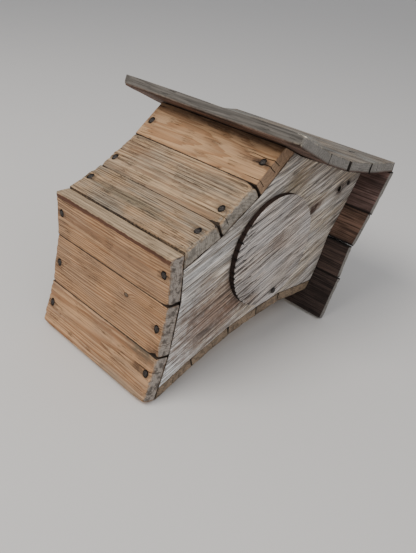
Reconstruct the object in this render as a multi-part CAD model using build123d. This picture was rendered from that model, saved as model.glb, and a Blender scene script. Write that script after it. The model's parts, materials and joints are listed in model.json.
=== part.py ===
"""Rustic birdhouse of reclaimed boards, all sizes in millimetres.

Two five-sided end panels stand 150 mm apart.  Narrow boards run front to back
over their edges and make a floor, two walls and two roof slopes.  Every side of
the panels is slightly hollow, so the boards of one side lean a little more each,
touch at their outer arrises and leave a thin wedge gap on the inside.

Frame: the front panel, with the entrance, faces -Y, the back panel faces +Y and
+Z is up.  The origin is the centre of the hanging hole, on the back panel's outer
face.  Outlines are written on a datum 228 mm below that hole.
"""
import math
import os

from build123d import *

# ---------------------------------------------------------------- dimensions
BOX_DEPTH = 150.0          # over the ends of the wall and floor boards
HANG_Z = 228.0             # hanging hole above the datum
PANEL_T = 12.0             # end panels
PANEL_GAP = 0.5            # between a panel's edge and the boards round it
ARRIS_GAP = 0.3            # between neighbouring boards at their outer arrises
BUTT_GAP = 0.4             # where a bevelled board end meets another side

FLOOR_T = 13.5
RIGHT_WALL_T = 14.0
LEFT_WALL_T = 10.0
RIGHT_ROOF_T = 10.0
LEFT_ROOF_T = 8.0

ROOF_BACK = 27.0           # roof overhang past the back panel
ROOF_FRONT = 32.0          # roof overhang past the front panel
ROOF_STEP = {0: 0.0, 1: -1.0, 2: 0.5, 3: 1.0}   # uneven sawn ends, by board

ENTRANCE_R = 19.0          # 38 mm entrance hole
ENTRANCE_Z = 150.0
CLEAN_OUT_R = 22.0         # 44 mm hole behind the cover, away from the cover's nail
CLEAN_OUT_X = 16.0
CLEAN_OUT_Z = 127.0
COVER_R = 53.5             # round swivelling cover
COVER_T = 5.5
COVER_X = -2.0
COVER_Z = 119.0
COVER_CLEARANCE = 0.4      # between cover and back panel
PIVOT_X = -46.5            # cover nail, near the rim on the left
PIVOT_Z = 114.0
HANG_R = 3.0               # hanging hole

NAIL_R = 1.3
NAIL_HEAD_R = 2.5
NAIL_HEAD_T = 1.0
NAIL_L = 27.0
NAIL_FIT = 0.03            # pilot hole over nail, on the radius, and head over board
NAIL_INSETS = {             # nail lines from the back and front ends of the box
    "floor": (7.5, 7.5),
    "right_wall": (9.5, 6.0),
    "right_roof": (8.5, 8.5),
    "left_roof": (4.2, 4.2),
    "left_wall": (4.2, 4.2),
}
PIVOT_R = 1.6
PIVOT_L = 20.0
PIVOT_CLEARANCE = 0.06     # running fit, on the radius
PIVOT_HEAD_R = 3.0
PIVOT_HEAD_GAP = 0.3       # under the head, so that the cover turns freely
TOP_NAIL_X = -0.5
TOP_NAIL_Z = 242.0         # spare nail just above the hanging hole
TOP_NAIL_L = 11.0

# Outer arrises of each side, bottom left and then anticlockwise as seen with
# +X to the right.  One board lies between each two neighbouring points.
FLOOR = [(-54.8, -46.2), (-19.7, -22.0), (22.5, -0.5), (62.3, 12.0)]
RIGHT_WALL = [(60.0, 24.0), (63.0, 62.0), (73.5, 107.0), (88.0, 144.5)]
RIGHT_ROOF = [(112.9, 134.2), (77.3, 172.4), (55.2, 201.8), (34.6, 236.6), (12.4, 281.0)]
LEFT_ROOF = [(-2.0, 278.0), (-31.9, 246.0), (-54.5, 217.8), (-84.0, 198.5), (-119.0, 168.0)]
LEFT_WALL = [(-96.0, 170.0), (-77.5, 127.0), (-70.0, 95.0), (-63.5, 57.0), (-62.0, 10.0),
             (-63.0, -33.0)]

os.makedirs("parts", exist_ok=True)
DATUM = Pos(0, 0, -HANG_Z)


# ------------------------------------------------------------- plane geometry
def unit(a, b):
    """Unit vector from a to b."""
    length = math.hypot(b[0] - a[0], b[1] - a[1])
    return ((b[0] - a[0]) / length, (b[1] - a[1]) / length)


def inward(a, b):
    """Unit vector to the inside of a side that runs from a to b."""
    dx, dz = unit(a, b)
    return (-dz, dx)


def shift(p, direction, distance):
    return (p[0] + direction[0] * distance, p[1] + direction[1] * distance)


def inset_line(a, b, depth):
    """The line through a and b, moved inwards by depth, as two points."""
    n = inward(a, b)
    return shift(a, n, depth), shift(b, n, depth)


def meet(line1, line2):
    """Where two lines cross."""
    (x1, z1), (x2, z2) = line1
    (x3, z3), (x4, z4) = line2
    d = (x1 - x2) * (z3 - z4) - (z1 - z2) * (x3 - x4)
    p = x1 * z2 - z1 * x2
    q = x3 * z4 - z3 * x4
    return ((p * (x3 - x4) - (x1 - x2) * q) / d, (p * (z3 - z4) - (z1 - z2) * q) / d)


def prism(points, y_back, y_front):
    """Extrude a closed outline in X and Z between two Y positions."""
    outline = Plane.XZ.offset(-y_back) * Polyline(*points, close=True)
    return extrude(make_face(outline), y_back - y_front)


def along_y(radius, x, z, y_back, y_front):
    """A cylinder with its axis along Y."""
    disc = Plane.XZ.offset(-y_back) * Pos(x, z) * Circle(radius)
    return extrude(disc, y_back - y_front)


# -------------------------------------------------------------------- boards
def edge_gap(points, joint, thickness):
    """How far a board stops short of a joint, so that its inner arris is clear too."""
    if joint in (0, len(points) - 1):
        return ARRIS_GAP / 2
    before = unit(points[joint - 1], points[joint])
    after = unit(points[joint], points[joint + 1])
    turn = math.asin(before[0] * after[1] - before[1] * after[0])
    return ARRIS_GAP / 2 + thickness * max(0.0, math.tan(turn / 2))


def board_edges(points, i, thickness):
    """Outer arrises of board i, pulled in from both of its joints."""
    a, b = points[i], points[i + 1]
    d = unit(a, b)
    return (shift(a, d, edge_gap(points, i, thickness)),
            shift(b, d, -edge_gap(points, i + 1, thickness)))


def section(points, i, thickness, start_plane=None, end_plane=None):
    """Cross-section of board i: square ends, or ends bevelled to a plane."""
    a, b = board_edges(points, i, thickness)
    outer = (a, b)
    inner = inset_line(a, b, thickness)
    corners = [a, b, inner[1], inner[0]]
    if start_plane:
        corners[0], corners[3] = meet(outer, start_plane), meet(inner, start_plane)
    if end_plane:
        corners[1], corners[2] = meet(outer, end_plane), meet(inner, end_plane)
    return corners


floor_top = inset_line(*FLOOR[2:4], FLOOR_T + BUTT_GAP)
floor_top_left = inset_line(*FLOOR[0:2], FLOOR_T + BUTT_GAP)
right_roof_under = inset_line(*RIGHT_ROOF[0:2], RIGHT_ROOF_T + BUTT_GAP)
left_roof_under = inset_line(*LEFT_ROOF[3:5], LEFT_ROOF_T + BUTT_GAP)
ridge_board_under = inset_line(*RIGHT_ROOF[3:5], RIGHT_ROOF_T + BUTT_GAP)

SIDES = {
    # name: (outline, thickness, {board: bevel planes}, number counts from)
    "floor_board": (FLOOR, FLOOR_T, {}, "start"),
    "right_wall_board": (RIGHT_WALL, RIGHT_WALL_T,
                         {0: {"start_plane": floor_top},
                          2: {"end_plane": right_roof_under}}, "start"),
    "right_roof_board": (RIGHT_ROOF, RIGHT_ROOF_T, {}, "start"),
    "left_roof_board": (LEFT_ROOF, LEFT_ROOF_T,
                        {0: {"start_plane": ridge_board_under}}, "end"),
    "left_wall_board": (LEFT_WALL, LEFT_WALL_T,
                        {0: {"start_plane": left_roof_under},
                         4: {"end_plane": floor_top_left}}, "end"),
}


def is_roof(name):
    return "roof" in name


def board_span(name, number):
    """Back and front ends of a board."""
    if is_roof(name):
        step = ROOF_STEP[number - 1]
        return ROOF_BACK + step, -BOX_DEPTH - ROOF_FRONT - step
    return 0.0, -BOX_DEPTH


boards = {}
board_lines = {}
for name, (points, thickness, bevels, counted_from) in SIDES.items():
    total = len(points) - 1
    for i in range(total):
        number = i + 1 if counted_from == "start" else total - i
        outline = section(points, i, thickness, **bevels.get(i, {}))
        node = f"{name}_{number}"
        boards[node] = prism(outline, *board_span(name, number))
        board_lines[node] = (points[i], points[i + 1])

# -------------------------------------------------------------------- panels
inner_lines = [
    inset_line(points[i], points[i + 1], thickness + PANEL_GAP)
    for points, thickness, _, _ in SIDES.values()
    for i in range(len(points) - 1)
]
panel_outline = [meet(inner_lines[i - 1], inner_lines[i]) for i in range(len(inner_lines))]

back_panel = prism(panel_outline, 0, -PANEL_T)
back_panel -= along_y(HANG_R, 0, HANG_Z, 1, -PANEL_T - 1)
back_panel -= along_y(CLEAN_OUT_R, CLEAN_OUT_X, CLEAN_OUT_Z, 1, -PANEL_T - 1)

front_panel = prism(panel_outline, -BOX_DEPTH + PANEL_T, -BOX_DEPTH)
front_panel -= along_y(ENTRANCE_R, 0, ENTRANCE_Z, -BOX_DEPTH + PANEL_T + 1, -BOX_DEPTH - 1)

# --------------------------------------------------------------------- cover
cover_back = COVER_CLEARANCE
cover_face = cover_back + COVER_T
cover = along_y(COVER_R, COVER_X, COVER_Z, cover_face, cover_back)
cover = chamfer(cover.edges().filter_by(GeomType.CIRCLE).group_by(Axis.Y)[-1], 0.6)
cover -= along_y(PIVOT_R + PIVOT_CLEARANCE, PIVOT_X, PIVOT_Z, cover_face + 1, cover_back - 1)


def nail(radius, length, head_radius, head_thickness):
    """A round nail along -Z, the underside of its head at the origin."""
    tip = 2.5 * radius
    shank = Cylinder(radius, length - tip, align=(Align.CENTER, Align.CENTER, Align.MAX))
    point = Pos(0, 0, tip - length) * Cone(
        0.25 * radius, radius, tip, align=(Align.CENTER, Align.CENTER, Align.MAX))
    head = Cylinder(head_radius, head_thickness,
                    align=(Align.CENTER, Align.CENTER, Align.MIN))
    return shank + point + head


def pilot(radius, length):
    """The hole that a nail of this size stands in."""
    return Cylinder(radius + NAIL_FIT, length + 0.2,
                    align=(Align.CENTER, Align.CENTER, Align.MAX))


def drive(solid, x, y, z, direction):
    """Stand a nail or its hole at a point, with the shank along a direction."""
    return Plane(origin=(x, y, z), z_dir=tuple(-c for c in direction)) * solid


INTO_PANEL = (0, -1, 0)
pivot_at = (PIVOT_X, cover_face + PIVOT_HEAD_GAP, PIVOT_Z)
top_nail_at = (TOP_NAIL_X, NAIL_FIT, TOP_NAIL_Z)
pivot_nail = drive(nail(PIVOT_R, PIVOT_L, PIVOT_HEAD_R, 1.2), *pivot_at, INTO_PANEL)
pivot_hole = drive(pilot(PIVOT_R, PIVOT_L), *pivot_at, INTO_PANEL)
top_nail = drive(nail(NAIL_R, TOP_NAIL_L, NAIL_HEAD_R, NAIL_HEAD_T), *top_nail_at, INTO_PANEL)
top_nail_hole = drive(pilot(NAIL_R, TOP_NAIL_L), *top_nail_at, INTO_PANEL)


def nail_places(side, places):
    """Head point and direction of a nail near each end of every board of a side.

    places gives how far across each board its nail stands, as a fraction.
    """
    back_inset, front_inset = NAIL_INSETS[side]
    for number, place in enumerate(places, start=1):
        a, b = board_lines[f"{side}_board_{number}"]
        n = inward(a, b)
        jitter = 0.06 if 0.35 < place < 0.65 else 0.0
        for y, across in ((-back_inset, place), (front_inset - BOX_DEPTH, place - jitter)):
            x, z = shift(a, unit(a, b), across * math.dist(a, b))
            x, z = shift((x, z), n, -NAIL_FIT)
            yield x, y, z, (n[0], 0, n[1])


NAIL_ROWS = {
    "floor": (0.58, 0.51, 0.61),
    "right_wall": (0.63, 0.30, 0.53),
    "left_wall": (0.45, 0.55, 0.50, 0.45, 0.55),
    "right_roof": (0.74, 0.45, 0.55, 0.50),
    "left_roof": (0.28, 0.45, 0.55, 0.50),
}
board_nail = nail(NAIL_R, NAIL_L, NAIL_HEAD_R, NAIL_HEAD_T)
board_pilot = pilot(NAIL_R, NAIL_L)
nail_sets = {}
pilots = []
for side, places in NAIL_ROWS.items():
    spots = list(nail_places(side, places))
    nail_sets[side] = [drive(board_nail, *spot) for spot in spots]
    pilots += [drive(board_pilot, *spot) for spot in spots]

# ---------------------------------------------------------------- nail holes
panels = {
    "front_panel": front_panel.cut(*pilots),
    "back_panel": back_panel.cut(*pilots, pivot_hole, top_nail_hole),
}
boards = {node: board.cut(*pilots) for node, board in boards.items()}

# -------------------------------------------------------------------- export
nodes = {**panels, **boards, "clean_out_cover": cover, "cover_pivot_nail": pivot_nail,
         "spare_nail": top_nail}
for node, solid in nodes.items():
    export_step(DATUM * solid, f"parts/{node}.step")
for side, nails in nail_sets.items():
    group = Compound([DATUM * each for each in nails])
    export_step(group, f"parts/{side}_nails.step")
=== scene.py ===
"""Rustic birdhouse of reclaimed boards: visual model, materials, light and camera.

Metres, in the row frame.  Lengths that describe wear and cracks are in
millimetres, and are named so.
"""
import itertools
import json
import math

import bmesh
import bpy
import numpy as np
from mathutils import Matrix, Vector
from mathutils.geometry import delaunay_2d_cdt


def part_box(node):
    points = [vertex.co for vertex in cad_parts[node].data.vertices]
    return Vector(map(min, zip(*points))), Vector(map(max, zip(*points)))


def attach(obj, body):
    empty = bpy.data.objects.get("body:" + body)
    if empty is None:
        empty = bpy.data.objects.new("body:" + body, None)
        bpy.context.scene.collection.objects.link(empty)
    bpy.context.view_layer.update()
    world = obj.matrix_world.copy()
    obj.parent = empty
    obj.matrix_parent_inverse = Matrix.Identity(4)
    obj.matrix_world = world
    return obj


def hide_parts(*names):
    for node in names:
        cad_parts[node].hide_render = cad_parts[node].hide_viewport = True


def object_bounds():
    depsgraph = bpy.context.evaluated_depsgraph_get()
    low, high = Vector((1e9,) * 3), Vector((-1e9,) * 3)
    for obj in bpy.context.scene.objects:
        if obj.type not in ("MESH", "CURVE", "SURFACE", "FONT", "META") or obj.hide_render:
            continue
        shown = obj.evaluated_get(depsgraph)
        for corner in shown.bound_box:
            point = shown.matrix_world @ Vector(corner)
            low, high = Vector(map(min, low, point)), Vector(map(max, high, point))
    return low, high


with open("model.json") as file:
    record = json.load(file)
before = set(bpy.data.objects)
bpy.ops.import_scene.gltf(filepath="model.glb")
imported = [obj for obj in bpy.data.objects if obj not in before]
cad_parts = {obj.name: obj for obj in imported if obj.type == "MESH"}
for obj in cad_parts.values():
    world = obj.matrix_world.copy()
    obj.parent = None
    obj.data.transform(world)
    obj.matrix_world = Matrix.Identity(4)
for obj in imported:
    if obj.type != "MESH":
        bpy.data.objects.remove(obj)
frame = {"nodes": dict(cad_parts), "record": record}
cad_bounds = [list(corner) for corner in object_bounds()]
NODES = frame["nodes"]
MM = 0.001

# Mesh pitches and wear of the boards and panels, in mm.
FACE_PITCH, LENGTH_PITCH, THICKNESS_PITCH = 1.7, 3.2, 1.4
EDGE_LINES = (0, 0.3, 0.7, 1.2, 1.9)
SIDE_SWELL = 0.2
PIT_RADIUS, PIT_DEPTH = 3.0, 1.15
PIT_RINGS = (0.9, 1.8, 2.5, 2.9, 3.3, 3.8, 4.6)
DRYING_CRACKS = 2       # tried on each board
CRACK_OPENING = 1.3
BOARD_WEAR, BOARD_END_WEAR = 0.9, 1.2
OUTLINE_PITCH = 1.7
ROUNDING_STEPS = (0, 25, 50, 72, 90)    # degrees

# Nails, in mm: shank radii, depth of driven heads, and the head's profile as pairs of a
# share of its radius and a depth.
SHANK, PIVOT_SHANK, SUNK = 1.3, 1.6, 1.05
HEAD_PROFILE = ((0.3, 0.12), (0.58, 0.08), (0.8, 0.12), (0.93, 0.25), (1.0, 0.45), (0.98, 0.7),
                (0.9, 0.9))
NAIL_SIDES = 28


# --------------------------------------------------------------------- noise
def noise(points, seed):
    """Smooth noise from -1 to 1 at an (n, 3) array, one cell to a unit."""
    cell = np.floor(points).astype(np.int64)
    part = points - cell
    part = part * part * (3 - 2 * part)
    total = np.zeros(len(points))
    for corner in itertools.product((0, 1), repeat=3):
        c = cell + np.array(corner)
        h = (c[:, 0] * 374761393 + c[:, 1] * 668265263 + c[:, 2] * 974634777
             + seed * 144269503) & 0xFFFFFFFF
        h = ((h ^ (h >> 13)) * 1274126177) & 0xFFFFFFFF
        value = ((h ^ (h >> 16)) & 0xFFFF) / 32767.5 - 1
        total += value * np.prod(np.where(corner, part, 1 - part), axis=1)
    return total


def smooth(x):
    x = np.clip(x, 0, 1)
    return x * x * (3 - 2 * x)


def spread(x, z, y=0.0):
    """Points (n, 3) from arrays of x and z."""
    return np.stack([x, x * 0 + y, z], 1)


# -------------------------------------------------------------------- meshes
def make_object(node, vertices, faces, marks, body, material):
    """A smooth mesh piece, in metres, that stands for a CAD node."""
    mesh = bpy.data.meshes.new("worn_" + node)
    mesh.from_pydata([tuple(v) for v in vertices], [], [tuple(f) for f in faces])
    for mark, values in marks.items():
        layer = mesh.attributes.new(mark, "FLOAT", "POINT")
        layer.data.foreach_set("value", np.asarray(values, dtype=np.float32))
    bm = bmesh.new()
    bm.from_mesh(mesh)
    bmesh.ops.recalc_face_normals(bm, faces=bm.faces)
    bm.to_mesh(mesh)
    bm.free()
    mesh.polygons.foreach_set("use_smooth", [True] * len(mesh.polygons))
    mesh.update()
    obj = bpy.data.objects.new("worn_" + node, mesh)
    bpy.context.scene.collection.objects.link(obj)
    obj.data.materials.append(material)
    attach(obj, body)
    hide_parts(node)


def node_points(node):
    mesh = NODES[node].data
    points = np.empty(len(mesh.vertices) * 3)
    mesh.vertices.foreach_get("co", points)
    return points.reshape(-1, 3)


def hull_corners(points, straight=0.9995):
    """Corners of the convex outline of (n, 2) points, anticlockwise."""
    pts = sorted(set(map(tuple, np.round(points, 6))))

    def half(order):
        chain = []
        for p in order:
            while len(chain) > 1:
                a, b = chain[-2], chain[-1]
                if (b[0] - a[0]) * (p[1] - a[1]) - (b[1] - a[1]) * (p[0] - a[0]) > 0:
                    break
                chain.pop()
            chain.append(p)
        return chain[:-1]

    hull = [np.array(p) for p in half(pts) + half(pts[::-1])]
    corners = []
    for i, p in enumerate(hull):
        before = p - hull[i - 1]
        after = hull[(i + 1) % len(hull)] - p
        turn = before @ after / (np.linalg.norm(before) * np.linalg.norm(after))
        if turn < straight:
            corners.append(p)
    return corners


# -------------------------------------------------------------------- boards
def grid_lines(length, pitch, fine=EDGE_LINES + (2.9, 4.2)):
    """Positions along a side in mm, close together near both ends."""
    near = [f for f in fine if f < length / 2 - 0.5 * pitch]
    middle = np.linspace(near[-1], length - near[-1],
                         max(2, int((length - 2 * near[-1]) / pitch) + 1))
    return sorted(set(near) | set(middle[1:-1]) | {length - f for f in near})


def add_crack_lines(lines, cracks, length):
    """Put narrow line pairs into a grid where cracks run."""
    for at, width in cracks:
        lines = [u for u in lines if abs(u - at) > 1.1 or u < 1.2 or u > length - 1.2]
        lines += [at - width, at - 0.35 * width, at, at + 0.35 * width, at + width]
    return sorted(lines)


def box_grid(us, vs, ws):
    """Vertices (mm) and faces of a box's surface on three sets of grid lines."""
    shape = (len(us), len(vs), len(ws))
    index = -np.ones(shape, dtype=int)
    i, j, k = np.indices(shape)
    skin = ((i == 0) | (i == shape[0] - 1) | (j == 0) | (j == shape[1] - 1)
            | (k == 0) | (k == shape[2] - 1))
    index[skin] = np.arange(skin.sum())
    points = np.stack([np.array(us)[i[skin]], np.array(vs)[j[skin]], np.array(ws)[k[skin]]], 1)
    faces = []
    for side in (index[0], index[-1], index[:, 0], index[:, -1], index[:, :, 0],
                 index[:, :, -1]):
        quads = np.stack([side[:-1, :-1], side[1:, :-1], side[1:, 1:], side[:-1, 1:]], -1)
        faces += quads.reshape(-1, 4).tolist()
    return points, faces


def round_box(points, size, radius):
    """Round the edges of box points; the radius can differ from point to point."""
    radius = radius[:, None]
    reach = np.minimum(radius, size / 2)
    inner = np.clip(points, reach, size - reach)
    off = points - inner
    length = np.linalg.norm(off, axis=1, keepdims=True)
    corner = (np.abs(off) > 1e-6).sum(axis=1, keepdims=True) > 1
    return np.where(corner, inner + off * radius / np.maximum(length, 1e-9), points)


def board_shape(node):
    """Corners and ends of a board: outer arrises a and b, inner ones c (by b) and d."""
    points = node_points(node)
    corners = longest_four(hull_corners(points[:, [0, 2]]))
    centre = np.array([(cad_bounds[0][0] + cad_bounds[1][0]) / 2, -0.110])
    sides = [(corners[i], corners[(i + 1) % 4]) for i in range(4)]
    lengths = [np.linalg.norm(b - a) for a, b in sides]
    first = 0 if lengths[0] + lengths[2] > lengths[1] + lengths[3] else 1
    reach = [np.linalg.norm((a + b) / 2 - centre) for a, b in sides]
    outer = first if reach[first] > reach[first + 2] else first + 2
    a, b = sides[outer]
    return {"a": a, "b": b, "c": corners[(outer + 2) % 4], "d": corners[(outer + 3) % 4],
            "y_low": points[:, 1].min(), "y_high": points[:, 1].max(),
            "width": np.linalg.norm(b - a) / MM}


def on_board(node, across, from_back):
    """A point of a board's outer face, from its arris a and its back end, in mm."""
    shape = board_shape(node)
    plan = shape["a"] + (shape["b"] - shape["a"]) * across / shape["width"]
    return (plan[0], shape["y_high"] - from_back * MM, plan[1])


def nails_in(node):
    """Heads of the nails that are driven through a board's outer face."""
    shape = board_shape(node)
    d = (shape["b"] - shape["a"]) / (shape["width"] * MM)
    found = []
    for x, y, z in nail_spots:
        off = np.array([x, z]) - shape["a"]
        if 0 < off @ d < shape["width"] * MM and abs(off[0] * d[1] - off[1] * d[0]) < 0.002 \
                and shape["y_low"] < y < shape["y_high"]:
            found.append((x, y, z))
    return found


def weathered_board(node, seed, material, wear, end_wear, open_cracks, under_bevel):
    """A board with worn arrises, ragged ends, nail pits and drying cracks, from its CAD node.

    In the working box u runs from arris a to b, v from the outer face inwards and w
    from the front end to the back end, all in mm.
    """
    shape = board_shape(node)
    a, b, c, d = (shape[k] for k in "abcd")
    width = shape["width"]
    thick = 0.5 * (np.linalg.norm(d - a) + np.linalg.norm(c - b)) / MM
    length = (shape["y_high"] - shape["y_low"]) / MM
    size = np.array([width, thick, length])
    pits = []
    for x, y, z in nails_in(node):
        pits.append(((np.array([x, z]) - a) @ (b - a) / (width * MM * MM),
                     (y - shape["y_low"]) / MM))

    rng = np.random.default_rng(seed)
    cracks = [(at, half, run, 1, deep) for at, half, run, deep in open_cracks]
    for _ in range(DRYING_CRACKS):
        at = rng.uniform(0.12, 0.88) * width
        crack = (at, rng.uniform(0.2, 0.42), rng.uniform(10, 50), rng.integers(0, 2),
                 rng.uniform(0.8, 2.0))
        if all(abs(at - other[0]) > 4 for other in cracks):
            cracks.append(crack)
    us = grid_lines(width, FACE_PITCH)
    ws = grid_lines(length, LENGTH_PITCH)
    for at_u, at_w in pits:
        us = pit_lines(us, at_u, width)
        ws = pit_lines(ws, at_w, length)
    us = add_crack_lines(us, [crack[:2] for crack in cracks], width)
    vs = grid_lines(thick, THICKNESS_PITCH, EDGE_LINES)
    p, faces = box_grid(us, vs, ws)

    # Worn arrises: the radius wanders, and the ends have lost more than the long edges.
    near_end = smooth(1.3 - (length - p[:, 2]) / 10) + 0.4 * smooth(1.3 - p[:, 2] / 10)
    radius = wear * (0.5 + 0.25 * noise(p / 17, seed)
                     + 0.7 * np.maximum(0, noise(p / (9, 9, 30), seed + 1)) ** 2)
    radius += near_end * end_wear * (1 - 0.75 * p[:, 1] / thick) * (
        0.6 + 0.45 * noise(p / (6, 7, 9), seed + 2)
        + 1.0 * np.maximum(0, noise(p / (2.6, 3, 9), seed + 12)) ** 1.5)
    if under_bevel:
        low_arris = smooth(1 - p[:, 0] / 6) * smooth(1 - (thick - p[:, 1]) / 6)
        radius += under_bevel * low_arris
    radius = np.clip(radius, 0.3, 0.62 * thick)
    q = round_box(p, size, np.minimum(radius, 0.49 * width))
    worn = np.clip(np.linalg.norm(q - p, axis=1) / 0.45, 0, 1)

    # Slow unevenness of the faces and ends, only ever inwards.
    outer_face, inner_face = p[:, 1] == 0, p[:, 1] == vs[-1]
    front_end, back_end = p[:, 2] == 0, p[:, 2] == ws[-1]
    slow = 0.14 * (1 + noise(p / (7, 9, 42), seed + 3)) \
        + 0.06 * (1 + noise(p / (2.6, 3, 25), seed + 4))
    q[:, 1] += slow * (outer_face * 1.0 - inner_face)
    ridges = 0.22 * (1 + noise(p / (2.4, 2.2, 5), seed + 5)) \
        + 0.3 * (1 + noise(p / (14, 8, 5), seed + 6))
    q[:, 2] += ridges * (front_end * 1.0 - back_end)
    # The sides swell into the joints, so that no light shows between two boards.
    q[:, 0] += SIDE_SWELL * ((p[:, 0] == us[-1]) * 1.0 - (p[:, 0] == 0))

    # Painted shade: the crack mark darkens the insides of the cracks and of the nail pits.
    dark = np.zeros(len(p))
    for at, half, run, end, deep in cracks:
        from_end = np.where(end, length - p[:, 2], p[:, 2])
        across = np.abs(p[:, 0] - at)
        grip = np.clip(1 - across / half, 0, 1)
        fade = smooth(1 - from_end / run)
        q[:, 1] += outer_face * deep * grip * fade
        face = (from_end < 1e-6) & (p[:, 1] < 0.75 * thick)
        opening = (1 - 2 * end) * CRACK_OPENING * grip * (1 - p[:, 1] / thick)
        q[:, 2] += np.where(face, opening, 0)
        wander = 0.8 * noise(spread(p[:, 2] / 14, p[:, 2] * 0 + at), seed + 7)
        q[:, 0] += wander * smooth(1.6 - across / 1.4) * outer_face
        dark = np.maximum(dark, smooth(grip * 1.5) * np.where(outer_face, fade ** 0.5, face))
    for at_u, at_w in pits:
        gap = np.hypot((p[:, 0] - at_u) / 1.3, p[:, 2] - at_w)
        gap = gap + 0.3 * noise(p / 1.8, seed + 9)
        q[:, 1] += PIT_DEPTH * outer_face * smooth((PIT_RADIUS - gap) / 0.6)
        dark = np.maximum(dark, 0.9 * outer_face * smooth((PIT_RADIUS + 0.15 - gap) / 0.5))

    s = q[:, 0] / width
    t = q[:, 1] / thick
    plan = ((1 - s) * (1 - t))[:, None] * a + (s * (1 - t))[:, None] * b \
        + ((1 - s) * t)[:, None] * d + (s * t)[:, None] * c
    vertices = np.stack([plan[:, 0], shape["y_low"] + q[:, 2] * MM, plan[:, 1]], 1)
    marks = {"worn": worn, "crack": dark, "depth": p[:, 1] / thick, "from_a": p[:, 0] / 100,
             "from_b": (width - p[:, 0]) / 100, "from_back": (length - p[:, 2]) / 100}
    make_object(node, vertices, faces, marks, "house", material)


def pit_lines(lines, at, length):
    """Close grid lines round a nail pit."""
    rings = [r * side for r in PIT_RINGS for side in (-1, 1)]
    extra = [at] + [at + r for r in rings if 0.4 < at + r < length - 0.4]
    lines = [v for v in lines if abs(v - at) > 5.0 or v < 1.3 or v > length - 1.3]
    return sorted(set(lines) | {v for v in extra if min(abs(v - w) for w in lines) > 0.12})


def longest_four(corners):
    """The four corners that matter most in an outline."""
    corners = list(corners)
    while len(corners) > 4:
        areas = []
        for i in range(len(corners)):
            u = corners[i] - corners[i - 1]
            v = corners[(i + 1) % len(corners)] - corners[i]
            areas.append(abs(u[0] * v[1] - u[1] * v[0]))
        corners.pop(int(np.argmin(areas)))
    return corners


# ------------------------------------------------------ panels and the cover
def resample(loop, pitch):
    """Points a pitch apart along a closed outline, with its corners kept."""
    out = []
    for i, a in enumerate(loop):
        b = loop[(i + 1) % len(loop)]
        steps = max(1, int(round(np.linalg.norm(b - a) / pitch)))
        out += [a + (b - a) * k / steps for k in range(steps)]
    return np.array(out)


def outward(loop):
    """Unit normals of a closed loop, pointing to its right."""
    step = np.roll(loop, -1, axis=0) - np.roll(loop, 1, axis=0)
    step /= np.maximum(np.linalg.norm(step, axis=1, keepdims=True), 1e-9)
    return np.stack([step[:, 1], -step[:, 0]], 1)


def circle(x, z, radius, count):
    turn = np.linspace(0, 2 * math.pi, count, endpoint=False)
    return np.stack([x + radius * np.cos(turn), z + radius * np.sin(turn)], 1)


def inside(points, loop):
    """Whether (n, 2) points are inside a closed loop."""
    hit = np.zeros(len(points), dtype=bool)
    for a, b in zip(loop, np.roll(loop, -1, axis=0)):
        crosses = (a[1] > points[:, 1]) != (b[1] > points[:, 1])
        rise = np.where(abs(b[1] - a[1]) < 1e-12, 1e-12, b[1] - a[1])
        x = (b[0] - a[0]) * (points[:, 1] - a[1]) / rise + a[0]
        hit ^= crosses & (points[:, 0] < x)
    return hit


def nearest(points, others):
    """Distance from each point to the nearest of others."""
    best = np.full(len(points), 1e9)
    for start in range(0, len(others), 400):
        part = others[start:start + 400]
        gap = np.linalg.norm(points[:, None, :] - part[None, :, :], axis=2)
        best = np.minimum(best, gap.min(axis=1))
    return best


def crack_path(start, heading, run, seed):
    """Points of a slightly wandering crack, in mm."""
    along = np.arange(0, run + 0.1, 1.6)
    side = np.array([-heading[1], heading[0]])
    sway = 0.7 * noise(spread(along / 9, along * 0), seed)
    return start + along[:, None] * heading + (sway - sway[0])[:, None] * side


def upright_cracks(first_seed, *rows):
    """Cracks along a panel's grain, from rows of x, z, run, half width and depth."""
    up = np.array([0.0, 1.0])
    return [(crack_path(np.array([x, z]), up, run, first_seed + number), half, deep)
            for number, (x, z, run, half, deep) in enumerate(rows)]


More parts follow.
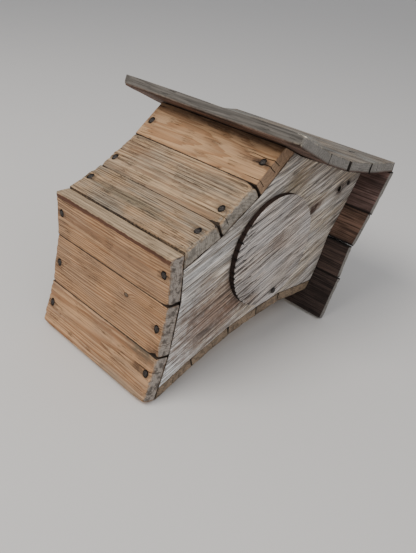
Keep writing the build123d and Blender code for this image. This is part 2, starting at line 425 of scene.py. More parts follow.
def slab(node, outer, holes, y_out, y_in, cracks, seed, material, body="house", wear=0.8,
         pitch=2.6, relief=0.12):
    """A plate with worn edges, holes and open cracks.  Outlines are in mm in X and Z,
    the outer one anticlockwise; y_out is the face that carries the cracks."""
    sign = 1 if y_out > y_in else -1
    thick = abs(y_out - y_in)
    loops = [outer] + [hole[::-1] for hole in holes]
    # crack_mark carries painted shade into the cracks and their notches in the rim.
    plan, depth, crack_mark, rim_mark, rings = [], [], [], [], []
    for number, loop in enumerate(loops):
        normal = outward(loop)
        spots = spread(loop[:, 0], loop[:, 1], 40 * number)
        radius = wear * (0.75 + 0.35 * noise(spots / 11, seed)
                         + 1.1 * np.maximum(0, noise(spots / 4, seed + 1)) ** 2)
        notch = np.zeros(len(loop))
        for path, half, deep in cracks:
            gap = np.linalg.norm(loop - path[0], axis=1)
            bite = np.clip(1 - gap / (half * 1.8), 0, 1) * min(0.7, 0.35 * deep)
            notch = np.maximum(notch, bite)
        edge = loop - normal * notch[:, None]
        ring = []
        for theta in np.radians(ROUNDING_STEPS):
            ring.append(len(plan) + np.arange(len(loop)))
            plan += list(edge - normal * (radius * (1 - math.cos(theta)))[:, None])
            depth += list(radius * (1 - math.sin(theta)))
            crack_mark += list(np.clip(notch, 0, 1))
            rim_mark += [1 - math.sin(theta)] * len(loop)
        rings.append(ring)
    solid = loops[0]
    low, high = solid.min(axis=0), solid.max(axis=0)
    grid = np.stack(np.meshgrid(np.arange(low[0], high[0], pitch),
                                np.arange(low[1], high[1], pitch * 1.3)), -1).reshape(-1, 2)
    spots = spread(grid[:, 0], grid[:, 1])
    grid = grid + 0.3 * pitch * np.stack(
        [noise(spots / 1.7, seed + 8), noise(spots / 1.7, seed + 9)], 1)
    keep = inside(grid, solid)
    for hole in holes:
        keep &= ~inside(grid, hole)
    grid = grid[keep]
    boundary = np.vstack([np.array(plan)[ring[-1]] for ring in rings])
    grid = grid[nearest(grid, boundary) > 0.55 * pitch]
    crack_points, crack_depth, crack_painted_shade = [], [], []
    for path, half, deep in cracks:
        heading = path[-1] - path[0]
        heading = heading / np.linalg.norm(heading)
        side = np.array([-heading[1], heading[0]])
        fade = smooth(1 - np.linspace(0, 1, len(path)) ** 2.5) ** 0.6
        for offset, share in ((0, 1), (-0.6, 0.85), (0.6, 0.85), (-1, 0), (1, 0)):
            shift = np.outer(half * offset * np.maximum(fade, 0.15), side)
            crack_points += list(path + shift)
            crack_depth += list(deep * share * fade)
            crack_painted_shade += list(share * np.minimum(1, fade * 2))
    if crack_points:
        crack_points = np.array(crack_points)
        crack_depth, crack_painted_shade = np.array(crack_depth), np.array(crack_painted_shade)
        ok = inside(crack_points, solid) & (nearest(crack_points, boundary) > 0.25)
        for hole in holes:
            ok &= ~inside(crack_points, hole)
        grid = grid[nearest(grid, crack_points[ok]) > 0.8]
        plan += list(crack_points[ok])
        depth += list(crack_depth[ok])
        crack_mark += list(crack_painted_shade[ok])
    plan += list(grid)
    for marks in (depth, crack_mark, rim_mark):
        marks += [0] * (len(plan) - len(marks))
    plan, depth = np.array(plan), np.array(depth)
    at = spread(plan[:, 0], plan[:, 1])
    depth = depth + relief * (1 + noise(at / (4, 1, 26), seed + 3)) * 0.5 \
        + relief * (1 + noise(at / (22, 1, 40), seed + 4))

    edges = []
    for ring in rings:
        for loop in (ring[0], ring[-1]):
            edges += list(zip(loop.tolist(), np.roll(loop, -1).tolist()))
    found, _, cells, origin = delaunay_2d_cdt([Vector(p) for p in plan], edges, [], 0, 1e-7)[:4]
    source = np.array([o[0] if o else -1 for o in origin])
    middle = np.array([np.mean([found[i] for i in cell], axis=0) for cell in cells])
    keep = inside(middle, plan[rings[0][0]])
    for ring in rings[1:]:
        keep &= ~inside(middle, plan[ring[0]])
    top = [[int(source[i]) for i in cell] for cell, k in zip(cells, keep) if k]
    top = [cell for cell in top if min(cell) >= 0]

    count = len(plan)
    back_depth = np.where(np.array(crack_mark) > 0, 0, depth)
    vertices = np.vstack([spread(plan[:, 0], plan[:, 1], y_out - sign * depth),
                          spread(plan[:, 0], plan[:, 1], y_in + sign * back_depth)])
    faces = top + [[i + count for i in cell[::-1]] for cell in top]
    marks_crack = list(crack_mark) + [0.0] * count
    marks_rim = list(rim_mark) * 2
    extra = []
    levels = max(2, int(thick / 2.2))
    for ring in rings:
        lower = ring[0]
        for level in range(1, levels + 1):
            if level < levels:
                share = level / levels
                base = plan[ring[0]]
                spots = spread(base[:, 0], base[:, 1], level * 2.2)
                inset = 0.12 * (1 + noise(spots / 2.5, seed + 6))
                upper = 2 * count + len(extra) + np.arange(len(base))
                low_y = vertices[ring[0], 1] * (1 - share) + vertices[ring[0] + count, 1] * share
                spot = base - outward(base) * inset[:, None]
                extra += list(np.stack([spot[:, 0], low_y, spot[:, 1]], 1))
                marks_crack += list(np.array(crack_mark)[ring[0]])
                marks_rim += [1.0] * len(base)
            else:
                upper = ring[0] + count
            here, there = lower.tolist(), upper.tolist()
            for i in range(len(here)):
                j = (i + 1) % len(here)
                faces.append([here[i], here[j], there[j], there[i]])
            lower = upper
    if extra:
        vertices = np.vstack([vertices, np.array(extra)])
    marks = {"crack": marks_crack, "rim": marks_rim,
             "worn": np.clip(np.array(marks_rim) * 1.2, 0, 1)}
    make_object(node, vertices * MM, faces, marks, body, material)


# --------------------------------------------------------------------- nails
def islands(obj):
    """Vertex arrays of the separate solids in a mesh."""
    mesh = obj.data
    parent = list(range(len(mesh.vertices)))

    def root(i):
        while parent[i] != i:
            parent[i] = parent[parent[i]]
            i = parent[i]
        return i

    for edge in mesh.edges:
        parent[root(edge.vertices[0])] = root(edge.vertices[1])
    groups = {}
    for vertex in mesh.vertices:
        groups.setdefault(root(vertex.index), []).append(tuple(vertex.co))
    return merge_touching([np.array(group) for group in groups.values()])


def merge_touching(groups):
    """Join groups whose boxes overlap, since a solid's faces may not share vertices."""
    merged = []
    for group in groups:
        low, high = group.min(axis=0), group.max(axis=0)
        for i, other in enumerate(merged):
            if (low <= other.max(axis=0) + 2e-5).all() \
                    and (high >= other.min(axis=0) - 2e-5).all():
                merged[i] = np.vstack([other, group])
                break
        else:
            merged.append(group)
    return merged if len(merged) == len(groups) else merge_touching(merged)


def nail_axis(points):
    """Top of the head, direction into the wood, length and head radius of a nail."""
    middle = points.mean(axis=0)
    _, _, axes = np.linalg.svd(points - middle, full_matrices=False)
    axis = axes[0]
    along = (points - middle) @ axis
    across = np.linalg.norm(points - middle - np.outer(along, axis), axis=1)
    if across[along > along.max() - 1e-3].max() > across[along < along.min() + 1e-3].max():
        axis, along = -axis, -along
    rim = points[along < along.min() + 1.05e-3]
    centre = (rim.min(axis=0) + rim.max(axis=0)) / 2
    centre = centre + axis * (along.min() - (centre - middle) @ axis)
    radius = np.linalg.norm(rim - centre - np.outer((rim - centre) @ axis, axis), axis=1).max()
    return centre, axis, along.max() - along.min(), radius


def nails(node, seed, material, shank_mm, sunk=0.0):
    """Hammered nails with uneven domed heads, where the CAD nails stand."""
    rng = np.random.default_rng(seed)
    vertices, faces, spots = [], [], []
    for group in sorted(islands(NODES[node]), key=lambda g: tuple(g.mean(axis=0))):
        top, axis, length, radius = nail_axis(group)
        spots.append((top, axis))
        r, total = radius / MM, length / MM
        tip = 2.5 * shank_mm
        profile = [(share * r, deep + sunk) for share, deep in HEAD_PROFILE]
        profile += [(shank_mm * 1.25, 1.05 + sunk), (shank_mm, 1.5 + sunk), (shank_mm, total - tip),
                    (0.6 * shank_mm, total - 0.4 * tip), (0.22 * shank_mm, total)]
        side = np.cross(axis, (0.3, 1, 0.2) if abs(axis[1]) < 0.9 else (1, 0, 0.2))
        side /= np.linalg.norm(side)
        other = np.cross(axis, side)
        turn = np.linspace(0, 2 * math.pi, NAIL_SIDES, endpoint=False)
        lumps = sum(rng.uniform(0.005, 0.022) * np.sin(k * turn + rng.uniform(0, 6.3))
                    for k in (2, 3, 5, 7))
        tilt = rng.uniform(-0.10, 0.10, 2)
        start = len(vertices)
        vertices.append(top + axis * (0.1 + sunk) * MM)
        for ring, (rad, deep) in enumerate(profile):
            on_head = 1.0 if ring < len(HEAD_PROFILE) else 0.0
            size = rad * (1 + on_head * lumps - on_head * 0.02)
            x, z = size * np.cos(turn), size * np.sin(turn)
            dent = on_head * (0.05 * np.sin(3 * turn + ring)
                              + np.maximum(0, tilt[0] * x + tilt[1] * z) * 0.5)
            level = np.maximum(deep + dent * (1 if ring < 5 else 0), 0.02)
            vertices += list(top + MM * (np.outer(x, side) + np.outer(z, other)
                                         + np.outer(level, axis)))
        last = start + 1 + (len(profile) - 1) * NAIL_SIDES
        for i in range(NAIL_SIDES):
            j = (i + 1) % NAIL_SIDES
            faces.append((start, start + 1 + i, start + 1 + j))
            for p in range(start + 1, last, NAIL_SIDES):
                faces.append((p + i, p + NAIL_SIDES + i, p + NAIL_SIDES + j, p + j))
        faces.append(tuple(last + i for i in range(NAIL_SIDES)))
    make_object(node, np.array(vertices), faces, {}, "house", material)
    return spots


# ----------------------------------------------------------------- materials
class Tree:
    """Short calls for building a node tree."""

    def __init__(self, name):
        self.material = bpy.data.materials.new(name)
        self.material.use_nodes = True
        self.tree = self.material.node_tree
        self.tree.nodes.clear()
        self.output = self.tree.nodes.new("ShaderNodeOutputMaterial")

    def plug(self, socket, value):
        if isinstance(value, bpy.types.NodeSocket):
            self.tree.links.new(value, socket)
        elif value is not None:
            socket.default_value = value[:3] if socket.type == "VECTOR" else value

    def node(self, kind, inputs=(), **settings):
        node = self.tree.nodes.new(kind)
        for key, value in settings.items():
            setattr(node, key, value)
        for key, value in dict(inputs).items():
            self.plug(node.inputs[key], value)
        return node

    def math(self, operation, a, b=None, c=None, clamp=False):
        node = self.node("ShaderNodeMath", operation=operation, use_clamp=clamp)
        for socket, value in zip(node.inputs, (a, b, c)):
            self.plug(socket, value)
        return node.outputs[0]

    def times(self, a, b, clamp=False):
        return self.math("MULTIPLY", a, b, clamp=clamp)

    def times_plus(self, a, b, c, clamp=False):
        return self.math("MULTIPLY_ADD", a, b, c, clamp)

    def vector(self, operation, a, b=None):
        node = self.node("ShaderNodeVectorMath", operation=operation)
        self.plug(node.inputs[0], a)
        self.plug(node.inputs[1], b)
        return node.outputs["Value" if operation in ("LENGTH", "DISTANCE") else "Vector"]

    def scale(self, vector, factor):
        node = self.vector("SCALE", vector).node
        self.plug(node.inputs["Scale"], factor)
        return node.outputs["Vector"]

    def noise(self, vector, scale, detail=4.0, rough=0.55):
        inputs = {"Vector": vector, "Scale": scale, "Detail": detail, "Roughness": rough}
        return self.node("ShaderNodeTexNoise", inputs, noise_dimensions="3D").outputs["Fac"]

    def ramp(self, value, low, high, to_low=0.0, to_high=1.0, smooth_ends=True):
        inputs = {"Value": value, "From Min": low, "From Max": high, "To Min": to_low,
                  "To Max": to_high}
        kind = "SMOOTHSTEP" if smooth_ends else "LINEAR"
        return self.node("ShaderNodeMapRange", inputs, interpolation_type=kind).outputs["Result"]

    def mix(self, factor, a, b, blend="MIX"):
        node = self.node("ShaderNodeMix", data_type="RGBA", blend_type=blend, clamp_factor=True)
        for key, value in ((0, factor), (6, a), (7, b)):
            self.plug(node.inputs[key], value)
        return node.outputs[2]

    def mark(self, name):
        return self.node("ShaderNodeAttribute", attribute_name=name).outputs["Fac"]


def rgb(r, g, b):
    """Linear colour from 0-255 screen values."""
    def linear(v):
        v /= 255
        return v / 12.92 if v <= 0.04045 else ((v + 0.055) / 1.055) ** 2.4
    return (linear(r), linear(g), linear(b), 1.0)


def tint(colour, k):
    return (colour[0] * k, colour[1] * k, colour[2] * k, 1.0)


ALONG = {"Y": lambda k: (1, k, 1), "Z": lambda k: (1, 1, k)}
JOINT_DIRT = rgb(30, 23, 19)
NAIL_STAIN = rgb(52, 40, 32)
# Painted shade for the insides of cracks and nail pits.
CRACK_PAINTED_SHADE = rgb(20, 14, 11)


def wood(node, grain, early, late, grey, seed, grey_amount=0.4, ring_mm=2.2, pith=(40, 60),
         wave=16.0, roughness=0.82, streak=0.5, dirt=0.5, relief=1.0, contrast=1.0, broad=0.3,
         furrow=0.4, fade=None, streak_scale=0.26, hairlines=0.12, end_mottle=0.55,
         end_tone=None, rim=None, nails_at=(), patches=(), knots=(), joints=("a", "b"),
         joint_reach=0.55, shaded_underside=None, edge_tone=None, band=None):
    """Weathered solid wood.  grain is the axis it grew along; pith and sizes are in mm.

    fade is (axis, low, high, strength, colour); a patch (spot, reach, stretch, colour,
    strength); a knot (spot, size, colour); band (edge mark, reach, raggedness, line width,
    colour, line colour).
    """
    t = Tree("wood_" + node)
    place = t.node("ShaderNodeTexCoord")
    here = t.vector("MULTIPLY", place.outputs["Object"], (1000, 1000, 1000))
    mm = t.vector("ADD", here, (seed * 37.7 % 211, seed * 61.3 % 307, seed * 17.9 % 173))

    def stretched(share):
        """The place in mm, with lengths along the grain scaled down."""
        return t.vector("MULTIPLY", mm, ALONG[grain](share))

    def gap_to(spot, share):
        """Distance from a spot in mm, with lengths along the grain scaled down."""
        away = t.vector("SUBTRACT", place.outputs["Object"], spot)
        return t.vector("LENGTH", t.vector("MULTIPLY", away,
                                           tuple(1000 * k for k in ALONG[grain](share))))

    # Rings round a pith line give grain lines on the faces and arcs on the ends.
    long = stretched(0.02)
    cathedral = t.noise(stretched(0.12), 0.035, 2, 0.5)
    from_pith = t.vector("DISTANCE", t.vector("MULTIPLY", here, ALONG[grain](0)),
                         {"Y": (pith[0], 0, pith[1]), "Z": (pith[0], pith[1], 0)}[grain])
    rings = t.times_plus(cathedral, wave, from_pith)
    rings = t.times_plus(t.noise(long, 0.4, 2, 0.5), 3.0, rings)
    for spot, size, _ in knots:
        rings = t.times_plus(t.ramp(gap_to(spot, 0.4), 4.0 * size, 0.0), 3.2 * size, rings)
    phase = t.math("FRACT", t.math("DIVIDE", rings, ring_mm))
    late_band = t.times(t.ramp(phase, 0.2, 0.9), t.ramp(phase, 1.0, 0.93))
    fibre = t.noise(long, 3.2, 4, 0.65)
    fibre_wide = t.noise(long, 0.95, 3, 0.6)
    blotches = t.noise(stretched(0.5), 0.045, 3, 0.55)
    streaks = t.noise(stretched(0.013), streak_scale, 4, 0.6)
    colour = t.mix(t.times(late_band, t.ramp(fibre_wide, 0.3, 0.6, 0.4, 0.95)), early, late)
    silver = t.times(t.ramp(blotches, 0.36, 0.64), grey_amount, clamp=True)
    silver = t.times_plus(t.ramp(streaks, 0.45, 0.62), streak * grey_amount, silver, clamp=True)
    colour = t.mix(silver, colour, t.mix(late_band, grey, tint(grey, 0.6)))
    if fade is not None:
        axis, low, high, strength, fade_tone = fade
        split = t.node("ShaderNodeSeparateXYZ", {"Vector": place.outputs["Object"]})
        patch = t.times_plus(t.noise(mm, 0.03, 3, 0.6), 0.06, split.outputs[axis])
        patch = t.times(t.ramp(patch, low, high), strength)
        patch = t.times(patch, t.ramp(streaks, 0.36, 0.56, 0.15, 1.0))
        patch = t.times(patch, t.ramp(fibre_wide, 0.38, 0.54, 0.3, 1.0))
        colour = t.mix(patch, colour, t.mix(late_band, fade_tone, tint(fade_tone, 0.6)))
    for spot, reach, share, shade, strength in patches:
        ragged = t.times_plus(t.noise(mm, 0.16, 4, 0.65), reach * 1.2, gap_to(spot, share))
        ragged = t.times_plus(fibre_wide, reach * 0.7, ragged)
        colour = t.mix(t.ramp(ragged, reach * 2.1, reach * 1.0, 0.0, strength), colour, shade)
    if band is not None:
        edge, reach, ragged, line, shade, border = band
        over = t.times_plus(t.noise(stretched(0.4), 0.14, 4, 0.7), ragged,
                            t.times(t.mark(edge), 100))
        reach += 0.5 * ragged
        colour = t.mix(t.ramp(over, reach + 0.6, reach - 0.4, 0.0, 0.95), colour,
                       t.mix(late_band, shade, tint(shade, 0.66)))
        ridge = t.times(t.ramp(over, reach - 0.4, reach + 0.3),
                        t.ramp(over, reach + line + 0.7, reach + line - 0.5))
        colour = t.mix(t.times(ridge, 0.92), colour, border)
    # Fibres, furrows between the hard ridges, long dark streaks and drying checks.
    for grains, swing in ((fibre, 0.26 * contrast), (fibre_wide, broad * contrast)):
        colour = t.scale(colour, t.ramp(grains, 0.3, 0.7, 1 - swing, 1 + swing, False))
    groove = t.ramp(fibre_wide, 0.43, 0.33, 0.0, furrow)
    colour = t.mix(groove, colour, tint(late, 0.4))
    colour = t.mix(t.ramp(streaks, 0.40, 0.27, 0.0, dirt), colour, tint(late, 0.42))
    check = t.noise(long, 0.75, 2, 0.5)
    check = t.ramp(t.math("ABSOLUTE", t.math("SUBTRACT", check, 0.5)), 0.014, 0.003)
    check = t.times(check, t.ramp(t.noise(mm, 0.05, 2, 0.5), 0.6 - hairlines, 0.72 - hairlines))
    colour = t.mix(t.times(check, 0.75), colour, tint(late, 0.2))
    # End grain soaks up dirt.
    facing = t.node("ShaderNodeSeparateXYZ", {"Vector": place.outputs["Normal"]})
    end = t.ramp(t.math("ABSOLUTE", facing.outputs[grain]), 0.35, 0.8)
    pores = t.noise(mm, 1.1, 5, 0.75)
    tone = end_tone or tint(grey, 0.8)
    end_colour = t.mix(t.ramp(pores, 0.4, 0.64), tone, tint(tone, 0.66))
    end_colour = t.mix(t.times(late_band, 0.45), end_colour, tint(tone, 0.42))
    end_colour = t.mix(t.ramp(t.noise(mm, 0.2, 4, 0.65), 0.45, 0.62, 0.0, end_mottle),
                       end_colour, tint(tone, 0.2))
    colour = t.mix(t.times(end, 0.95), colour, end_colour)
    for spot, size, shade in knots:
        gap = t.times_plus(t.noise(mm, 0.5, 3, 0.6), 0.7 * size, gap_to(spot, 0.62))
        swirl = t.ramp(t.math("FRACT", t.math("DIVIDE", gap, 0.28 * size)), 0.2, 0.9, 0.5, 1.3)
        colour = t.mix(t.ramp(gap, 1.55 * size, 1.15 * size, 0.0, 0.92), colour,
                       t.scale(shade, swirl))
        collar = t.times(t.ramp(gap, 1.9 * size, 1.5 * size), t.ramp(gap, 1.1 * size, 1.4 * size))
        colour = t.mix(collar, colour, tint(late, 0.35))
    # Scuffed or rubbed arrises, and the underside in a browner tone of its own; its darker tones,
    # set board by board, are painted shade.
    scuff = t.times(t.mark("worn"), t.ramp(t.noise(mm, 0.35, 4, 0.6), 0.38, 0.6))
    colour = t.mix(t.times(scuff, 0.5), colour, edge_tone or tint(early, 1.05))
    if shaded_underside is not None:
        shaded = t.mix(t.ramp(blotches, 0.42, 0.6), shaded_underside, tint(shaded_underside, 0.52))
        shaded = t.mix(t.ramp(fibre_wide, 0.42, 0.6, 0.0, 0.9), shaded, tint(shaded_underside, 0.22))
        shaded = t.mix(t.ramp(streaks, 0.52, 0.66, 0.0, 0.55), shaded, tint(shaded_underside, 1.3))
        colour = t.mix(t.ramp(t.mark("depth"), 0.72, 0.97), colour, shaded)
    # Dirt in the joints, dark sawn rims that are partly stain and partly painted shade, stains
    # round nails, and painted shade inside cracks and nail pits.
    for edge in joints:
        near = t.times_plus(t.noise(mm, 0.5, 3, 0.6), 0.9, t.times(t.mark(f"from_{edge}"), 100))
        colour = t.mix(t.ramp(near, joint_reach + 0.7, joint_reach, 0.0, 0.92), colour, JOINT_DIRT)
    # Dark rims of the panels and the cover: partly stain on the sawn end grain, partly painted
    # shade.
    if rim is not None:
        rim_stain_and_shade = t.mix(t.ramp(t.noise(mm, 0.9, 4, 0.65), 0.35, 0.65), rim, tint(rim, 2.0))
        colour = t.mix(t.ramp(t.mark("rim"), 0.45, 0.95), colour, rim_stain_and_shade)
    for spot in nails_at:
        gap = t.times_plus(t.noise(mm, 0.45, 3, 0.6), 3.0, gap_to(spot, 0.5))
        colour = t.mix(t.ramp(gap, 6.2, 3.8, 0.0, 0.5), colour, NAIL_STAIN)
    # Painted shade inside cracks and nail pits.
    colour = t.mix(t.ramp(t.mark("crack"), 0.1, 0.6), colour, CRACK_PAINTED_SHADE)
    height = t.times_plus(late_band, 0.55, t.times(fibre, 0.5))
    height = t.times_plus(fibre_wide, 0.7, height)
    height = t.times_plus(t.times(pores, end), 1.4, height)
    height = t.times_plus(t.math("MAXIMUM", check, groove), -1.1, height)
    bump = t.node("ShaderNodeBump",
                  {"Height": height, "Strength": 0.9, "Distance": 0.0005 * relief})
    shader = t.node("ShaderNodeBsdfPrincipled", {
        "Base Color": colour, "Roughness": t.times_plus(fibre, 0.12, roughness - 0.05),
        "Specular IOR Level": 0.3, "Normal": bump.outputs["Normal"]})
    t.plug(t.output.inputs["Surface"], shader.outputs[0])
    return t.material


def rusty_steel():
    t = Tree("rusty_nail_steel")
    place = t.node("ShaderNodeTexCoord")
    mm = t.vector("MULTIPLY", place.outputs["Object"], (1000, 1000, 1000))
    coarse = t.noise(mm, 0.8, 4, 0.65)
    fine = t.noise(mm, 4.0, 5, 0.7)
    colour = t.mix(t.ramp(coarse, 0.4, 0.65), rgb(40, 36, 34), rgb(78, 72, 68))
    colour = t.mix(t.ramp(fine, 0.55, 0.75, 0.0, 0.5), colour, rgb(92, 66, 50))
    bump = t.node("ShaderNodeBump",
                  {"Height": t.math("ADD", coarse, fine), "Strength": 0.6, "Distance": 0.00025})
    shader = t.node("ShaderNodeBsdfPrincipled", {
        "Base Color": colour, "Metallic": t.ramp(fine, 0.7, 0.4, 0.15, 0.7),
        "Roughness": t.ramp(fine, 0.3, 0.7, 0.42, 0.85), "Normal": bump.outputs["Normal"]})
    t.plug(t.output.inputs["Surface"], shader.outputs[0])
    return t.material


STEEL = rusty_steel()
COUNTS = {"floor_board": 3, "right_wall_board": 3, "left_wall_board": 5, "right_roof_board": 4,
          "left_roof_board": 4}
NAIL_SETS = ("floor_nails", "right_wall_nails", "left_wall_nails", "right_roof_nails",
             "left_roof_nails")
nail_spots = []
for number, node in enumerate(NAIL_SETS):
    spots = nails(node, 700 + number, STEEL, SHANK, SUNK)
    nail_spots += [tuple(top) for top, _ in spots]
spare_at = nails("spare_nail", 720, STEEL, SHANK)[0][0]
pivot_head_at = nails("cover_pivot_nail", 721, STEEL, PIVOT_SHANK)[0][0]

ROOF_LOOK = dict(
    early=rgb(140, 126, 110), late=rgb(94, 82, 70), grey=rgb(130, 127, 120), grey_amount=0.8,
    ring_mm=2.2, end_tone=rgb(156, 150, 142), dirt=0.5, end_mottle=0.25)
LOOKS = {
    "floor_board": dict(
        early=rgb(188, 147, 108), late=rgb(136, 95, 64), grey=rgb(144, 124, 106),
        grey_amount=0.3, ring_mm=2.2, end_tone=rgb(190, 178, 166), dirt=0.35, wave=14,
        end_mottle=0.9, contrast=0.8, furrow=0.28),
    "right_wall_board": dict(
        early=rgb(174, 144, 110), late=rgb(126, 97, 72), grey=rgb(140, 130, 115),
        grey_amount=0.45, ring_mm=2.0, end_tone=rgb(190, 180, 166), dirt=0.25, wave=10),
    "left_wall_board": dict(
        early=rgb(160, 138, 114), late=rgb(108, 88, 70), grey=rgb(146, 138, 128),
        grey_amount=0.7, ring_mm=2.0, end_tone=rgb(166, 142, 116), dirt=0.45),
    # Roof underside tone: browner wood, partly painted shade.
    "right_roof_board": dict(ROOF_LOOK, shaded_underside=rgb(118, 92, 78), edge_tone=rgb(196, 182, 158)),
    "left_roof_board": dict(ROOF_LOOK, edge_tone=rgb(176, 166, 150), joint_reach=1.1),
}
DARK_BROWN = rgb(66, 46, 34)
OLIVE = rgb(116, 104, 84)
# Marks of single boards.  Spots are (mm across from arris a, mm from the back end).
SPECIAL = {
    "floor_board_1": dict(
        patches=[((43, 15), 12, 0.45, rgb(100, 88, 72), 0.95), ((25, 19), 4, 0.35, DARK_BROWN, 0.8),
                 ((2, 30), 6, 0.1, rgb(134, 122, 106), 0.6)],
        joints=("b",)),
    "floor_board_2": dict(
        knots=[((34.7, 47.8), 1.4, rgb(108, 96, 82))],
        patches=[((4, 4), 8, 0.6, DARK_BROWN, 0.7)]),
    "floor_board_3": dict(
        band=("from_b", 0.9, 4.0, 3.4, rgb(172, 150, 122), rgb(84, 52, 38)), joints=("a",),
        patches=[((41, 125), 8, 0.5, rgb(98, 62, 46), 0.6)]),
    "right_wall_board_1": dict(
        patches=[((18, 86), 7, 0.12, OLIVE, 0.85)], grey_amount=0.6, furrow=0.6, joint_reach=0.25),
    "right_wall_board_2": dict(
        ring_mm=2.6, furrow=0.5, contrast=1.2,
        patches=[((30, 130), 9, 0.3, rgb(110, 76, 50), 0.5)]),
    "right_wall_board_3": dict(
        early=rgb(182, 144, 106), late=rgb(150, 110, 76), grey_amount=0.15, wave=34,
        ring_mm=3.2, contrast=0.5, furrow=0.15, end_tone=rgb(190, 156, 126), end_mottle=0.2,
        patches=[((19.5, 12), 4.6, 0.22, DARK_BROWN, 0.95),
                 # Dark strip along edge b under the roof: partly dirt, partly painted shade from
                 # the roof.
                 ((39, 60), 6, 0.04, rgb(84, 62, 46), 0.7)]),
    "right_roof_board_1": dict(
        joints=("b",), end_mottle=0.1, contrast=0.6, furrow=0.2,
        band=("from_a", 0.5, 0.8, 4.5, rgb(100, 95, 89), rgb(250, 238, 212))),
    # Left roof underside tones, dark at board 1 to light at board 4: browner wood, partly painted
    # shade.
    "left_roof_board_1": dict(joints=("a",), shaded_underside=rgb(78, 64, 58)),
    "left_roof_board_2": dict(shaded_underside=rgb(96, 78, 70)),
    "left_roof_board_3": dict(shaded_underside=rgb(142, 110, 92)),
    "left_roof_board_4": dict(shaded_underside=rgb(152, 122, 112)),
}
WEAR = {"right_wall_board_1": 0.5, "floor_board_3": 0.55}
END_WEAR = {"floor_board_1": 4.5, "floor_board_2": 4.0, "floor_board_3": 4.5,
            "right_wall_board_1": 6.0, "right_wall_board_2": 6.0, "right_wall_board_3": 0.8,
            "right_roof_board_1": 2.5}
UNDER_BEVEL = {"right_roof_board_1": 2.6}
# Cracks from the back end: mm across, half width, run and depth.
OPEN_CRACKS = {"right_wall_board_3": [(19.4, 0.45, 24, 2.2)], "floor_board_1": [(28, 0.3, 26, 1.4)]}
seed = 11
for prefix, count in COUNTS.items():
    for number in range(1, count + 1):
        node = f"{prefix}_{number}"
        seed += 7
        rng = np.random.default_rng(seed)
        look = dict(LOOKS[prefix])
        lift = rng.uniform(0.93, 1.07)
        for tone in ("early", "late"):
            look[tone] = tint(look[tone], lift)
        low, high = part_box(node)
        look["pith"] = ((low[0] + high[0]) * 500 + rng.uniform(-45, 45),
                        (low[2] + high[2]) * 500 + rng.uniform(-45, 45))
        look.update(SPECIAL.get(node, {}))
        for kind in ("patches", "knots"):
            look[kind] = [(on_board(node, *spot), *rest) for spot, *rest in look.get(kind, ())]
        material = wood(node, "Y", seed=seed, nails_at=nails_in(node), **look)
        weathered_board(node, seed, material, WEAR.get(node, BOARD_WEAR),
                        END_WEAR.get(node, BOARD_END_WEAR), OPEN_CRACKS.get(node, ()),
                        UNDER_BEVEL.get(node, 0.0))


# -------------------------------------------------------------------- panels
def panel_outline(node):
    """The panel's outline in mm, anticlockwise, from the rim faces of its CAD mesh."""
    mesh = NODES[node].data
    points = node_points(node) / MM
    y_side = points[:, 1].min() if node == "front_panel" else points[:, 1].max()
    count = {}
    for poly in mesh.polygons:
        ids = list(poly.vertices)
        if all(abs(points[i, 1] - y_side) < 1e-3 for i in ids):
            for a, b in zip(ids, ids[1:] + ids[:1]):
                key = tuple(tuple(np.round(points[end, [0, 2]], 3)) for end in (a, b))
                count[key] = count.get(key, 0) + 1
    border = {a: b for a, b in count if (b, a) not in count}
    loops = []
    while border:
        start = next(iter(border))
        loop = [start]
        while loop[-1] in border:
            following = border.pop(loop[-1])
            if following == start:
                break
            loop.append(following)
        loops.append(np.array(loop))
    outline = max(loops, key=lambda l: np.ptp(l[:, 0]) * np.ptp(l[:, 1]))
    area = 0.5 * np.sum(outline[:, 0] * np.roll(outline[:, 1], -1)
                        - np.roll(outline[:, 0], -1) * outline[:, 1])
    return outline if area > 0 else outline[::-1]


def box_mm(node):
    return (np.array(corner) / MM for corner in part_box(node))


def hole(centre_m, radius, count):
    """A round hole's outline in mm, from its centre in metres."""
    x, _, z = np.array(centre_m) / MM
    return circle(x, z, radius, count)


MOUNTS = {mount["name"]: mount for mount in frame["record"]["mounts"]}
OPENINGS = {opening["name"]: np.array(opening["box_m"])
            for opening in frame["record"]["physics"]["openings"]}
hang = MOUNTS["hanging_hole"]
entrance = MOUNTS["entrance_hole"]
CLEAN_OUT_RADIUS, PIVOT_BORE_RADIUS = 22.0, 1.66     # mm
COVER_SIDES = 230

# rim is a dark rim tone, partly stain and partly painted shade.
PANEL_LOOK = dict(
    grain="Z", early=rgb(228, 211, 188), late=rgb(148, 129, 112), grey=rgb(218, 212, 206),
    grey_amount=0.6, ring_mm=1.7, streak=0.7, dirt=0.7, relief=1.6, contrast=1.9, furrow=0.7,
    broad=0.22, streak_scale=0.5, hairlines=0.26, rim=rgb(40, 30, 24), joints=(), wave=14)
low, high = box_mm("back_panel")
# From the top: stain at the hanging hole, two flaked knots, brown area, red-brown and
# dark streaks beside the cover, and a beige corner.
panel_material = wood(
    "back_panel", seed=91, pith=(30, -90), nails_at=[tuple(spare_at)],
    fade=("Z", -0.13, -0.22, 1.0, rgb(255, 255, 254)),
    patches=[((0, 0, 0), 8.5, 0.8, rgb(64, 44, 40), 1.0),
             ((0.0033, 0, -0.0375), 6.5, 0.5, rgb(84, 58, 46), 1.0),
             ((0.0012, 0, -0.0450), 6.5, 0.5, rgb(70, 48, 40), 1.0),
             ((-0.022, 0, -0.188), 44, 0.6, rgb(146, 118, 99), 0.92),
             ((-0.030, 0, -0.164), 13, 0.6, rgb(122, 92, 74), 0.75),
             ((-0.034, 0, -0.198), 5, 0.2, rgb(96, 86, 80), 0.8),
             ((0.047, 0, -0.070), 12, 0.5, rgb(158, 138, 108), 0.7)],
    **PANEL_LOOK)
